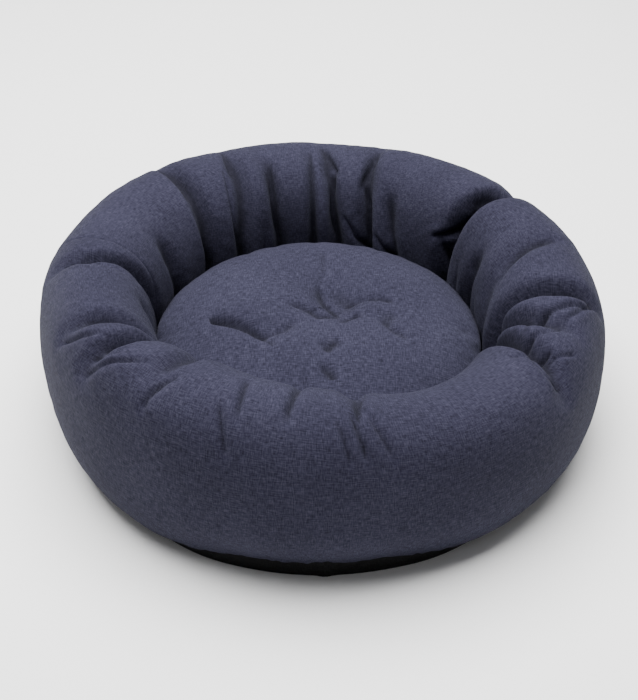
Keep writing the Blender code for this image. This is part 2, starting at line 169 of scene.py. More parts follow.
def seam_height(theta):
    """The base seam dips at the front corners and has one small pinch between them."""
    pinch = NOTCH_RISE * np.exp(-((turned(theta - NOTCH) / NOTCH_WIDTH) ** 2))
    return BACK_SEAM_HEIGHT + pinch - CORNER_DIP * at_corners(theta)


def inside_arc(theta, arc, taper):
    """1 inside an arc of azimuths, falling to 0 over the taper beyond each end."""
    middle, half = sum(arc) / 2, (arc[1] - arc[0]) / 2
    return 1 - smooth(np.abs(turned(theta - middle)), half, half + taper)


def beside_zip(theta):
    """1 along the base zip, where the ring is round and level as the zip is."""
    return inside_arc(theta, ZIP_ARC, ZIP_LEVEL_TAPER)


def seam_frame(centre, half_width, waist, drop, power, height):
    """A lower seam's (radius, height), the direction up the cloth there and the direction out of it."""
    level = (waist - height) / drop
    out = (1 - level**power) ** (1 / power)
    normal = Vector((out ** (power - 1) / half_width, -(level ** (power - 1)) / drop)).normalized()
    return Vector((centre + half_width * out, height)), Vector((-normal.y, normal.x)), normal


def superellipse(t, centre, half_width, waist, rise, drop, powers):
    """A closed outline's (radius, height). t runs from the outermost point up over the top."""
    c, s = np.cos(t), np.sin(t)
    upper, outer = s >= 0, c >= 0
    power = np.select([upper & outer, upper & ~outer, ~upper & ~outer, ~upper & outer], powers)
    r = centre + np.sign(c) * half_width * np.abs(c) ** (2 / power)
    z = waist + np.where(upper, rise, drop) * np.sign(s) * np.abs(s) ** (2 / power)
    return r, z


BASE_SEAM = seam_frame(
    (BED_RADIUS + WELL_RADIUS) / 2,
    (BED_RADIUS - WELL_RADIUS) / 2,
    WAIST,
    WAIST + SINK,
    RING_POWERS[3],
    BACK_SEAM_HEIGHT,
)
CUSHION_DROP = CUSHION_WAIST - CUSHION_FLOOR + CUSHION_FLATTENING
CUSHION_SEAM_FRAME = seam_frame(
    0.0, CUSHION_RADIUS, CUSHION_WAIST, CUSHION_DROP, CUSHION_POWERS[3], CUSHION_SEAM
)


# ---------------------------------------------------------------- mesh and cloth


def grid_quads(points, closed=True):
    """Quads over points[row, column], which face out where the rows run outwards over a top."""
    rows, columns = points.shape[:2]
    k = np.arange(rows * columns).reshape(rows, columns)
    here, after = (k, np.roll(k, -1, axis=1)) if closed else (k[:, :-1], k[:, 1:])
    return np.stack([here[:-1], here[1:], after[1:], after[:-1]], -1).reshape(-1, 4)


def grid_object(name, points, uv, closed=True):
    """A smooth mesh over points[row, column] with the cloth's own map, whose unit is a metre."""
    columns = points.shape[1]
    quads = grid_quads(points, closed)
    mesh = bpy.data.meshes.new(name)
    mesh.from_pydata(points.reshape(-1, 3).tolist(), [], quads.tolist())
    corner = uv.reshape(-1, 2)[quads.ravel()].reshape(-1, 4, 2)
    if closed:
        width = uv[:, -1, 0].max() * columns / (columns - 1)
        first = corner[..., 0] < corner[..., 0].max(1, keepdims=True) - width / 2
        corner[..., 0] += np.where(first, width, 0.0)
    mesh.uv_layers.new(name="cloth").data.foreach_set("uv", corner.astype(np.float32).ravel())
    mesh.shade_smooth()
    made = bpy.data.objects.new(name, mesh)
    bpy.context.scene.collection.objects.link(made)
    return made


def doubled(points, axis, closed):
    """The grid with one more point between each two along an axis, on a smooth cubic."""
    p = np.moveaxis(points, axis, 0)
    if closed:
        middle = (9 * (p + np.roll(p, -1, 0)) - np.roll(p, 1, 0) - np.roll(p, -2, 0)) / 16
        finer = np.stack([p, middle], 1).reshape(-1, *p.shape[1:])
    else:
        e = np.concatenate([2 * p[:1] - p[1:2], p, 2 * p[-1:] - p[-2:-1]])
        finer = np.empty((2 * len(p) - 1, *p.shape[1:]))
        finer[::2] = p
        finer[1::2] = (9 * (e[1:-2] + e[2:-1]) - e[:-3] - e[3:]) / 16
    return np.moveaxis(finer, 0, axis)


def eased(points, passes):
    """The grid with its shortest ripples taken out. Its first and last rows stay."""
    p = points.copy()
    for _ in range(passes):
        p = (2 * p + np.roll(p, 1, 1) + np.roll(p, -1, 1)) / 4
        p[1:-1] = (2 * p[1:-1] + p[:-2] + p[2:]) / 4
        p[0], p[-1] = points[0], points[-1]
    return p


def grid_normals(points, closed=True):
    """Unit normals that face out where the rows run outwards over a top."""
    across = np.gradient(points, axis=0)
    around = np.roll(points, -1, 1) - np.roll(points, 1, 1) if closed else np.gradient(points, axis=1)
    normal = np.cross(across, around)
    return normal / np.maximum(np.linalg.norm(normal, axis=-1, keepdims=True), 1e-12)


def valley(across, width):
    """A fold's profile: a sharp line 1 deep between two low soft lips."""
    u = np.abs(across) / width
    return -1 / (1 + u**2) ** 1.5 + 0.15 * np.exp(-(((u - 3.2) / 1.8) ** 2))


def fold(x, y, start, end, depth, width, bow=0.0):
    """Height of one fold on flat cloth, along the bowed line from start to end."""
    run = Vector((end[0] - start[0], end[1] - start[1]))
    length = max(run.length, 1e-6)
    run /= length
    share = ((x - start[0]) * run.x + (y - start[1]) * run.y) / length
    across = (y - start[1]) * run.x - (x - start[0]) * run.y
    inside = np.clip(share, 0, 1)
    across = across - bow * length * np.sin(pi * inside)
    beyond = (share - inside) * length
    taper = smooth(share, -0.12, 0.22) * (1 - smooth(share, 0.70, 1.12))
    return depth * taper * valley(np.hypot(across, beyond), width)


def lumps(rng, theta, share, count, height):
    """Broad soft waves of the stuffing, seeded, over a surface that closes round the bed."""
    total = np.zeros(np.broadcast(theta, share).shape)
    for _ in range(count):
        turns, rise, phase = rng.integers(2, 15), rng.uniform(-3, 3), rng.uniform(0, FULL_TURN)
        total += np.cos(turns * theta + FULL_TURN * rise * share + phase) / (1 + turns / 8)
    return height * total / count**0.5


def coordinates(mesh):
    """The mesh's points as rows of x, y and z."""
    co = np.zeros(len(mesh.vertices) * 3, np.float32)
    mesh.vertices.foreach_get("co", co)
    return co.reshape(-1, 3).astype(float)


def set_coordinates(mesh, co):
    mesh.vertices.foreach_set("co", co.astype(np.float32).ravel())
    mesh.update()


def run_cloth(obj, pinned, rest, frames, pressure, stiffness, bending, cap):
    """Settles obj under inner pressure with its edge lengths taken from rest, and moves its points."""
    start = coordinates(obj.data)
    obj.shape_key_add(name="Basis")
    rest_key = obj.shape_key_add(name="rest")
    rest_key.data.foreach_set("co", rest.astype(np.float32).ravel())
    group = obj.vertex_groups.new(name="pinned")
    group.add([int(k) for k in pinned], 1.0, "REPLACE")
    cloth = obj.modifiers.new("settle", "CLOTH")
    settings = cloth.settings
    settings.quality = 5
    settings.mass = 0.15
    settings.air_damping = 4.0
    settings.tension_stiffness = stiffness
    settings.compression_stiffness = stiffness
    settings.shear_stiffness = stiffness / 3
    settings.bending_stiffness = bending
    settings.tension_damping = 10.0
    settings.compression_damping = 10.0
    settings.shear_damping = 10.0
    settings.use_pressure = True
    settings.uniform_pressure_force = pressure
    settings.vertex_group_mass = "pinned"
    settings.rest_shape_key = rest_key
    settings.effector_weights.gravity = 0.0
    cloth.collision_settings.use_collision = False
    cloth.point_cache.frame_start = 1
    cloth.point_cache.frame_end = frames
    scene = bpy.context.scene
    for number in range(1, frames + 1):
        scene.frame_set(number)
    settled = obj.evaluated_get(bpy.context.evaluated_depsgraph_get())
    co = coordinates(settled.data)
    obj.modifiers.remove(cloth)
    obj.shape_key_clear()
    obj.vertex_groups.clear()
    scene.frame_set(1)
    moved = co - start
    far = np.linalg.norm(moved, axis=1, keepdims=True)
    co = start + moved * np.minimum(1.0, cap / np.maximum(far, 1e-9))
    set_coordinates(obj.data, co)
    return co


def mark_painted_crease_shade(obj, points, columns=slice(None)):
    """Gives each point of the grid's columns how far it lies in a crease, for the painted shade that darkens
    the cloth there.
    """
    below = ((eased(points, PAINTED_SHADE_PASSES) - points) * grid_normals(points)).sum(-1)
    painted_crease_shade = np.clip(below[:, columns] / PAINTED_SHADE_DEPTH, 0.0, 1.0)
    obj.data.attributes.new("painted_crease_shade", "FLOAT", "POINT").data.foreach_set("value", painted_crease_shade.ravel())


def drawn_in(inner, cover, clearance):
    """A ring lining whose points move to the middle of their section until they lie under the cover."""
    tree = BVHTree.FromPolygons(cover.reshape(-1, 3).tolist(), grid_quads(cover).tolist())
    moved = inner.reshape(-1, 3).copy()
    for k, point in enumerate(moved):
        place = Vector(point)
        outwards = Vector((place.x, place.y, 0.0)).normalized()
        middle = outwards * (BED_RADIUS + WELL_RADIUS) / 2 + Vector((0.0, 0.0, WAIST))
        for _ in range(LINING_STEPS):
            near, normal, _, _ = tree.find_nearest(place)
            if (place - near).dot(normal) < -clearance:
                break
            place += (middle - place).normalized() * LINING_STEP
        moved[k] = place
    return moved.reshape(inner.shape)


def inset_copy(name, points, depth, closed_rows=False, cover=None):
    """A plain lining that lies at a depth under a settled grid."""
    inner = eased(points, LINING_PASSES)
    inner = (inner - depth * grid_normals(inner))[::2, ::2]
    if cover is not None:
        inner = drawn_in(inner, cover, depth - LINING_GAP)
    if closed_rows:
        inner = np.concatenate([inner, inner[:1]])
    rows, columns = inner.shape[:2]
    uv = np.stack(np.meshgrid(np.arange(columns), np.arange(rows)), -1) * 0.006
    return grid_object(name, inner, uv)


def hemmed(points):
    """The grid with its last edge turned in and under."""
    edge, inwards = points[-1], -grid_normals(points)[-2]
    back = points[-1] - points[-3]
    back /= np.maximum(np.linalg.norm(back, axis=-1, keepdims=True), 1e-9)
    turn = [
        edge + back * HEM * 0.35 + inwards * HEM * 0.25,
        edge + back * HEM * 0.35 + inwards * HEM * 0.75,
        edge + inwards * HEM,
        edge - back * 0.004 + inwards * HEM,
    ]
    return np.concatenate([points, np.stack(turn)])


def tube(name, path, radius, sides=4):
    """A closed-ended tube along the path's points."""
    ahead = np.gradient(path, axis=0)
    ahead /= np.linalg.norm(ahead, axis=1, keepdims=True)
    side = np.cross(ahead, (0.0, 0.0, 1.0))
    side /= np.maximum(np.linalg.norm(side, axis=1, keepdims=True), 1e-9)
    rise = np.cross(side, ahead)
    turn = np.arange(sides) * FULL_TURN / sides
    rings = path[:, None] + radius * (
        np.cos(turn)[None, :, None] * side[:, None] + np.sin(turn)[None, :, None] * rise[:, None]
    )
    k = np.arange(len(path) * sides).reshape(-1, sides)
    after = np.roll(k, -1, axis=1)
    faces = np.stack([k[:-1], after[:-1], after[1:], k[1:]], -1).reshape(-1, 4).tolist()
    faces += [k[0].tolist()[::-1], k[-1].tolist()]
    mesh = bpy.data.meshes.new(name)
    mesh.from_pydata(rings.reshape(-1, 3).tolist(), [], faces)
    mesh.shade_smooth()
    made = bpy.data.objects.new(name, mesh)
    bpy.context.scene.collection.objects.link(made)
    return made


# ---------------------------------------------------------------- materials


class Nodes:
    """Short names for building a material's nodes."""

    def __init__(self, name):
        self.material = bpy.data.materials.new(name)
        self.material.use_nodes = True
        self.tree = self.material.node_tree
        self.shader = self.tree.nodes["Principled BSDF"]

    def add(self, kind, inputs=(), **settings):
        node = self.tree.nodes.new(kind)
        for key, value in settings.items():
            setattr(node, key, value)
        for key, value in dict(inputs).items():
            self.set(node.inputs[key], value)
        return node

    def set(self, socket, value):
        if isinstance(value, bpy.types.NodeSocket):
            self.tree.links.new(value, socket)
        else:
            socket.default_value = value

    def math(self, operation, *values):
        node = self.add("ShaderNodeMath", operation=operation)
        for socket, value in zip(node.inputs, values):
            self.set(socket, value)
        return node.outputs[0]

    def stretched(self, vector, scale):
        return self.add("ShaderNodeVectorMath", {0: vector, 1: scale}, operation="MULTIPLY").outputs[0]

    def noise(self, vector, scale, detail=2.0, roughness=0.5):
        inputs = {"Vector": vector, "Scale": scale, "Detail": detail, "Roughness": roughness}
        return self.add("ShaderNodeTexNoise", inputs).outputs["Fac"]

    def mix(self, fac, a, b):
        node = self.add("ShaderNodeMix", data_type="RGBA")
        for socket, value in zip((node.inputs[0], node.inputs[6], node.inputs[7]), (fac, a, b)):
            self.set(socket, value)
        return node.outputs[2]

    def bump(self, height, distance, strength=1.0, before=None):
        inputs = {"Height": height, "Distance": distance, "Strength": strength}
        if before is not None:
            inputs["Normal"] = before
        return self.add("ShaderNodeBump", inputs).outputs[0]

    def finish(self, colour, roughness, normal=None):
        self.set(self.shader.inputs["Base Color"], colour)
        self.set(self.shader.inputs["Roughness"], roughness)
        if normal is not None:
            self.set(self.shader.inputs["Normal"], normal)
        return self.material


def woven(name, dark, mid, light, sheen=0.02):
    """A heathered plain weave on the cloth's own map, whose unit is a metre, darkened in its creases by
    painted shade.
    """
    n = Nodes(name)
    cloth = n.add("ShaderNodeUVMap", uv_map="cloth").outputs[0]
    along = n.noise(n.stretched(cloth, (100.0, 760.0, 1.0)), 1.0, 2.0, 0.55)
    across = n.noise(n.stretched(cloth, (760.0, 130.0, 1.0)), 1.0, 2.0, 0.55)
    patch = n.noise(cloth, 160.0, 3.0, 0.6)
    broad = n.noise(cloth, 9.0, 2.0)
    threads = n.math("ADD", along, across)
    threads = n.math("ADD", threads, n.math("MULTIPLY", patch, 0.3))
    threads = n.math("ADD", threads, n.math("MULTIPLY", broad, 0.3))
    low = n.add("ShaderNodeMapRange", {0: threads, 1: 1.00, 2: 1.30}).outputs[0]
    high = n.add("ShaderNodeMapRange", {0: threads, 1: 1.30, 2: 1.62}).outputs[0]
    colour = n.mix(high, n.mix(low, (*dark, 1), (*mid, 1)), (*light, 1))
    # Painted shade: where the cloth lies in a crease, its colour is darkened towards a quarter of its dark
    # tone.
    painted_crease_shade = n.add("ShaderNodeAttribute", attribute_name="painted_crease_shade").outputs["Fac"]
    crease_shade_colour = tuple(0.25 * c for c in dark)
    colour = n.mix(n.math("MULTIPLY", painted_crease_shade, PAINTED_CREASE_SHADE), colour, (*crease_shade_colour, 1))
    turns = FULL_TURN / WEAVE_PITCH
    split = n.add("ShaderNodeSeparateXYZ", {0: cloth}).outputs
    warp = n.math("SINE", n.math("MULTIPLY", split[0], turns))
    weft = n.math("SINE", n.math("MULTIPLY", split[1], turns))
    weave = n.math("MULTIPLY", warp, weft)
    normal = n.bump(weave, 0.00025, 0.6)
    normal = n.bump(threads, 0.0003, 0.6, normal)
    roughness = n.add("ShaderNodeMapRange", {0: threads, 1: 1.0, 2: 1.8, 3: 0.98, 4: 0.82}).outputs[0]
    n.shader.inputs["Sheen Weight"].default_value = sheen
    n.shader.inputs["Sheen Roughness"].default_value = 0.45
    n.shader.inputs["Sheen Tint"].default_value = (0.75, 0.80, 1.0, 1)
    n.shader.inputs["Specular IOR Level"].default_value = 0.15
    return n.finish(colour, roughness, normal)


def twill(name, colour, contrast=1.5):
    """A fine diagonal tape or thread."""
    n = Nodes(name)
    place = n.add("ShaderNodeTexCoord").outputs["Object"]
    ribs = n.add("ShaderNodeTexWave", {"Vector": place, "Scale": 1400.0, "Distortion": 1.0}).outputs["Fac"]
    cloud = n.noise(place, 400.0, 3.0)
    both = n.math("MULTIPLY", ribs, cloud)
    light = tuple(min(1.0, c * contrast) for c in colour)
    tint = n.mix(both, (*colour, 1), (*light, 1))
    n.shader.inputs["Specular IOR Level"].default_value = 0.2
    return n.finish(tint, 0.85, n.bump(both, 0.0002, 0.6))


def metal(name):
    """Plated zip metal, a little brushed and rubbed."""
    n = Nodes(name)
    place = n.add("ShaderNodeTexCoord").outputs["Object"]
    brushed = n.noise(n.stretched(place, (900.0, 900.0, 6000.0)), 1.0, 3.0)
    worn = n.noise(place, 260.0, 4.0, 0.65)
    tint = n.mix(worn, (0.16, 0.16, 0.17, 1), (0.34, 0.34, 0.35, 1))
    rough = n.add("ShaderNodeMapRange", {0: brushed, 3: 0.24, 4: 0.46}).outputs[0]
    n.shader.inputs["Metallic"].default_value = 1.0
    return n.finish(tint, rough, n.bump(brushed, 0.00005, 0.5))


def nylon(name, colour):
    """A zip coil's slightly cloudy plastic."""
    n = Nodes(name)
    place = n.add("ShaderNodeTexCoord").outputs["Object"]
    cloud = n.noise(place, 900.0, 3.0)
    light = tuple(c * 1.8 for c in colour)
    tint = n.mix(cloud, (*colour, 1), (*light, 1))
    rough = n.add("ShaderNodeMapRange", {0: cloud, 3: 0.35, 4: 0.55}).outputs[0]
    return n.finish(tint, rough, n.bump(cloud, 0.00004, 0.4))


def wadding(name):
    """White polyester fibre."""
    n = Nodes(name)
    place = n.add("ShaderNodeTexCoord").outputs["Object"]
    fibres = n.noise(place, 300.0, 8.0, 0.75)
    tint = n.mix(fibres, (0.70, 0.70, 0.69, 1), (0.88, 0.88, 0.87, 1))
    return n.finish(tint, 0.95, n.bump(fibres, 0.002, 0.8))


SLATE = woven("slate_weave", (0.0078, 0.0075, 0.0160), (0.0175, 0.0169, 0.0330), (0.0345, 0.0337, 0.0570))
BLACK = woven(
    "black_weave", (0.0012, 0.0012, 0.0014), (0.0030, 0.0030, 0.0034), (0.0080, 0.0080, 0.0085), sheen=0.0
)
LINEN = woven("white_lining", (0.50, 0.50, 0.49), (0.62, 0.62, 0.60), (0.74, 0.74, 0.72), sheen=0.0)
FIBRE = wadding("fibre")
TAPE = twill("navy_tape", (0.012, 0.013, 0.024))
THREAD = twill("navy_thread", (0.020, 0.021, 0.038))
SATIN = twill("satin_label", (0.55, 0.55, 0.53), 1.3)
COIL = nylon("navy_nylon", (0.012, 0.013, 0.024))
NICKEL = metal("zip_metal")

# ---------------------------------------------------------------- the ring

# Each crease runs from the inner seam up and over the crest: its azimuth at both ends in degrees, how far
# it reaches of the way to the base seam, its depth and its half width.
CREASES = (
    (133, 130, 0.68, 0.024, 0.010),
    (119, 114, 0.64, 0.020, 0.010),
    (104, 106, 0.58, 0.018, 0.009),
    (92, 92, 0.60, 0.013, 0.007),
    (82, 89, 0.64, 0.020, 0.009),
    (71, 74, 0.64, 0.020, 0.009),
    (59, 64, 0.46, 0.014, 0.009),
    (39, 31, 0.74, 0.036, 0.011),
    (20, 17, 0.44, 0.012, 0.011),
    (-1, 9, 0.62, 0.010, 0.014),
    (-13, -9, 0.76, 0.032, 0.010),
    (-16, -23, 0.64, 0.024, 0.010),
    (-20, -37, 0.72, 0.026, 0.010),
    (-58, -58, 0.42, 0.010, 0.012),
    (-77, -82, 0.56, 0.014, 0.009),
    (-94, -96, 0.50, 0.010, 0.011),
    (-106, -105, 0.48, 0.010, 0.011),
    (-121, -124, 0.64, 0.014, 0.011),
    (-134, -141, 0.72, 0.030, 0.011),
    (-140, -153, 0.68, 0.024, 0.010),
    (-162, -168, 0.44, 0.014, 0.012),
    (171, 179, 0.70, 0.028, 0.011),
    (152, 154, 0.46, 0.014, 0.011),
)

# Finer folds in the settled cloth: azimuth and share of the way to the base seam at both ends, depth,
# width and bow.
FOLDS = (
    (-12, 0.64, -26, 0.47, 0.0060, 0.0030, 0.06),
    (-9, 0.68, -21, 0.57, 0.0050, 0.0028, 0.05),
    (-23, 0.56, -32, 0.48, 0.0050, 0.0028, 0.0),
    (-38, 0.49, -30, 0.57, 0.0050, 0.0028, 0.05),
    (-36, 0.53, -37, 0.67, 0.0060, 0.0034, 0.08),
    (-33, 0.57, -28, 0.63, 0.0040, 0.0026, 0.0),
    (-153, 0.67, -144, 0.56, 0.0060, 0.0030, 0.05),
    (-141, 0.64, -134, 0.56, 0.0050, 0.0028, 0.0),
    (-141, 0.68, -127, 0.55, 0.0055, 0.0030, -0.06),
    (-120, 0.55, -124, 0.68, 0.0055, 0.0034, 0.06),
    (178, 0.63, -177, 0.44, 0.0050, 0.0036, 0.05),
    (-179, 0.42, 171, 0.20, 0.0050, 0.0036, 0.04),
    (130, 0.66, 134, 0.42, 0.0050, 0.0030, 0.0),
    (134, 0.44, 132, 0.20, 0.0060, 0.0032, 0.05),
    (114, 0.62, 116, 0.49, 0.0050, 0.0028, 0.0),
    (118, 0.50, 119, 0.20, 0.0060, 0.0032, 0.05),
    (105, 0.50, 103, 0.18, 0.0055, 0.0030, 0.03),
    (92, 0.57, 92, 0.18, 0.0035, 0.0022, 0.0),
    (89, 0.58, 84, 0.45, 0.0050, 0.0028, 0.0),
    (85, 0.47, 82, 0.20, 0.0055, 0.0030, 0.04),
    (80, 0.32, 70, 0.19, 0.0050, 0.0028, 0.0),
    (73, 0.58, 75, 0.40, 0.0050, 0.0028, 0.0),
    (74, 0.42, 70, 0.18, 0.0055, 0.0030, -0.04),
    (67, 0.28, 58, 0.18, 0.0045, 0.0028, 0.0),
    (31, 0.64, 36, 0.44, 0.0060, 0.0036, 0.05),
    (35, 0.46, 42, 0.32, 0.0070, 0.0036, -0.08),
    (44, 0.33, 36, 0.36, 0.0055, 0.0028, 0.0),
    (41, 0.33, 38, 0.16, 0.0055, 0.0030, 0.0),
    (10, 0.60, -2, 0.34, 0.0040, 0.0050, 0.06),
    (-94, 0.44, -96, 0.61, 0.0075, 0.0036, 0.0),
    (-106, 0.50, -105, 0.63, 0.0060, 0.0032, 0.0),
    (-109, 0.60, -106, 0.70, 0.0045, 0.0032, 0.0),
    (-78, 0.44, -82, 0.60, 0.0090, 0.0034, 0.05),
    (-83, 0.56, -81, 0.68, 0.0065, 0.0032, 0.0),
    (-80, 0.55, -76, 0.68, 0.0045, 0.0030, 0.0),
    (-86, 0.58, -84, 0.69, 0.0045, 0.0030, 0.0),
)
GATHERS = 64


def ring_angles():
    """Section angles that lie evenly along the ring's cloth, from the inner seam to the base seam."""
    t = np.linspace(radians(251.8), radians(-90), SECTION_STEPS)
    half = (BED_RADIUS - WELL_RADIUS) / 2
    r, z = superellipse(t, WELL_RADIUS + half, half, WAIST, BED_HEIGHT - WAIST, WAIST + SINK, RING_POWERS)
    keep = (t > 0) | (z > BACK_SEAM_HEIGHT)
    t, r, z = t[keep], r[keep], z[keep]
    along = np.concatenate([[0.0], np.cumsum(np.hypot(np.diff(r), np.diff(z)))])
    wanted = np.linspace(0.0, along[-1], RING_ROWS)
    return np.interp(wanted, along, t), wanted


def half_width(theta, below):
    """Half the ring's width. below goes from 0 at the waist to 1 at the seam, where the zip is level."""
    zipped = beside_zip(theta)
    level = zipped * smooth(below)
    outer = outer_radius(theta) * (1 - level) + BED_RADIUS * level
    tuck = TUCK * (1 - zipped) * (1 - 0.8 * at_corners(theta))
    return (outer - tuck * smooth(below) - WELL_RADIUS) / 2


def leaned_back(theta, t):
    """How far the crest and inner wall lie outwards, where the lounging corners are pressed down."""
    right = np.exp(-((turned(theta - radians(-38)) / radians(24)) ** 2))
    left = np.exp(-((turned(theta - radians(-140)) / radians(20)) ** 2))
    over = np.where(t > pi / 2, np.sin(t), np.sin(t) ** 3)
    return 0.017 * (right + 0.8 * left)[None] * np.where(t > 0, over, 0.0)[:, None]


def angle_at(height):
    """The angle below the waist at which the ring's outer wall has this height."""
    return -np.arcsin(((WAIST - height) / (WAIST + SINK)) ** (RING_POWERS[3] / 2))


def ring_shape(theta, t):
    """The uncreased ring as (radius, height) grids, down to the cover's edge at the base seam."""
    opening = ZIP_HALF_OPENING * inside_arc(theta, ZIP_ARC, ZIP_TAPER)
    edge = angle_at(seam_height(theta) + BASE_SEAM[1].y * opening)
    lower = t[:, None] < 0
    lifted = np.where(lower, t[:, None] * (edge / t[-1]), t[:, None])
    half = half_width(theta[None], np.clip(lifted / angle_at(BACK_SEAM_HEIGHT), 0, 1))
    rise = crest_height(theta)[None] - WAIST
    r, z = superellipse(lifted, WELL_RADIUS + half, half, WAIST, rise, WAIST + SINK, RING_POWERS)
    inside = (t > 0) & (t < pi)
    return r + leaned_back(theta, np.where(inside, t, 0.0)), z


def crease_depth(theta, share, radius):
    """How deep the creases press the ring in."""
    depth = np.zeros_like(radius)
    for inner, outer, reach, deep, wide in CREASES:
        bend = turned(radians(outer - inner))
        line = radians(inner) + bend * smooth(share[:, None], 0.15, reach)
        away = turned(theta[None, :] - line) * radius
        profile = smooth(share[:, None], 0.0, 0.12) * (1 - smooth(share[:, None], reach * 0.72, reach))
        depth += deep * profile * np.exp(-((away / wide) ** 2))
    return depth


def widened(r, z, fullness):
    """The shape with each row's length round the bed grown by fullness and each column's kept."""
    wide = r * fullness[:, None]
    step = np.hypot(np.diff(r, axis=0), np.diff(z, axis=0))
    rise = np.sqrt(np.maximum(step**2 - np.diff(wide, axis=0) ** 2, (0.1 * step) ** 2))
    rise *= np.where(np.diff(z, axis=0) < 0, -1.0, 1.0)
    return wide, np.concatenate([np.zeros((1, r.shape[1])), np.cumsum(rise, axis=0)])


def round_points(r, z, theta):
    """Points from radii, heights and azimuths."""
    return np.stack([r * np.cos(theta), r * np.sin(theta), z], -1)


def fine_folds(theta, share, radius, length):
    """Heights of the finer folds and of the gathers at the inner seam."""
    total = np.zeros(radius.shape)
    y = share[:, None] * length
    for az0, share0, az1, share1, depth, width, bow in FOLDS:
        middle = radians(az0 + turned_degrees(az1 - az0) / 2)
        x = turned(theta[None] - middle) * radius
        there = radius[np.abs(share - (share0 + share1) / 2).argmin()].mean()
        reach = radians(turned_degrees(az1 - az0)) / 2 * there
        total += fold(x, y, (-reach, share0 * length), (reach, share1 * length), depth, width, bow)
    rng = np.random.default_rng(11)
    for k in range(GATHERS):
        at = radians(360 / GATHERS * k) + rng.uniform(-0.04, 0.04)
        lean, top = rng.uniform(-0.012, 0.012), rng.uniform(0.14, 0.36) * length
        depth, width = rng.uniform(0.0012, 0.0034), rng.uniform(0.0028, 0.0045)
        x = turned(theta[None] - at) * radius
        total += fold(x, y, (0.0, -0.01), (lean, top), depth, width)
    return total


def split_cover(name, points, uv, first, last):
    """The cover's part between two columns, which may pass the full turn."""
    columns = np.arange(first, last + 1) % points.shape[1]
    piece_uv = uv[:, columns].copy()
    piece_uv[..., 0] = np.arange(first, last + 1) * uv[0, 1, 0]
    piece = grid_object(name, points[:, columns], piece_uv, closed=False)
    mark_painted_crease_shade(piece, points, columns)
    return piece


def ring_uv(theta, along):
    """The cover's map: its length round the bed and up the section."""
    return np.stack(np.broadcast_arrays(theta[None, :] * BED_RADIUS, along[:, None]), -1).copy()


def settled_ring():
    """The cover settled over the stuffing with its creases, and its length up the section."""
    t, along = ring_angles()
    share = along / along[-1]
    theta = np.arange(RING_COLUMNS) * FULL_TURN / RING_COLUMNS
    r, z = ring_shape(theta, t)
    slope_r, slope_z = np.gradient(r, axis=0), np.gradient(z, axis=0)
    size = np.hypot(slope_r, slope_z)
    rng = np.random.default_rng(7)
    lump = lumps(rng, theta[None], share[:, None], count=14, height=0.0022)
    lump *= smooth(share[:, None], 0.05, 0.3) * (1 - smooth(share[:, None], 0.86, 0.98))
    depth = crease_depth(theta, share, r) - lump + rng.normal(0, 0.0005, r.shape)
    points = round_points(r + depth * slope_z / size, z - depth * slope_r / size, theta)
    fullness = 1.0 + 0.24 * (1 - smooth(share, 0.36, 0.66))
    rest = round_points(*widened(r, z, fullness), theta)
    ring = grid_object("ring_cover", points, ring_uv(theta, along))
    k = np.arange(RING_ROWS * RING_COLUMNS).reshape(RING_ROWS, RING_COLUMNS)
    sewn = np.concatenate([k[0], k[-1]])
    rest = rest.reshape(-1, 3)
    run_cloth(ring, sewn, rest, frames=22, pressure=3.2, stiffness=15.0, bending=0.4, cap=0.030)
    settled = coordinates(ring.data).reshape(RING_ROWS, RING_COLUMNS, 3)
    bpy.data.objects.remove(ring)
    return doubled(doubled(eased(settled, 1), 0, False), 1, True), along[-1]


def ring_folds(settled, theta, share, length):
    """How the finer folds and the side seams move the settled cover's points."""
    radius = np.hypot(settled[..., 0], settled[..., 1])
    fine = fine_folds(theta, share, radius, length)
    for seam in SIDE_SEAMS:
        away = turned(theta[None] - radians(seam)) * radius
        fine -= SIDE_SEAM_DEPTH / (1 + (away / SIDE_SEAM_WIDTH) ** 2)
    fine *= smooth(share[:, None], 0.0, 0.03) * (1 - smooth(share[:, None], 0.96, 1.0))
    return fine[..., None] * grid_normals(settled)


def make_ring():
    """The cover's two halves with the lining and the stuffing under them."""
    settled, length = settled_ring()
    columns = 2 * RING_COLUMNS
    theta = np.arange(columns) * FULL_TURN / columns
    share = np.linspace(0, 1, len(settled))
    folded = settled + ring_folds(settled, theta, share, length)
    cover = hemmed(folded)
    uv = ring_uv(theta, np.concatenate([share * length, length + np.array(HEM_RUN)]))
    left, right = (seam * columns // 360 for seam in SIDE_SEAMS)
    for name, node, first, last in (
        ("cover_front", "bolster_cover_front", left, right),
        ("cover_back", "bolster_cover_back", right, left + columns),
    ):
        piece = split_cover(name, cover, uv, first, last)
        piece.data.materials.append(SLATE)
        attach(piece, "bed")
        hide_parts(node)
    for name, node, depth, finish, slot in (
        ("liner", "bolster_liner", 0.009, LINEN, "liner_fabric"),
        ("ring_fill", "bolster_fill", 0.011, FIBRE, "fibre_fill"),
    ):
        piece = inset_copy(name, settled, depth, closed_rows=True, cover=folded)
        piece.data.materials.append(finish)
        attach(piece, "bed")
        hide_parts(node)


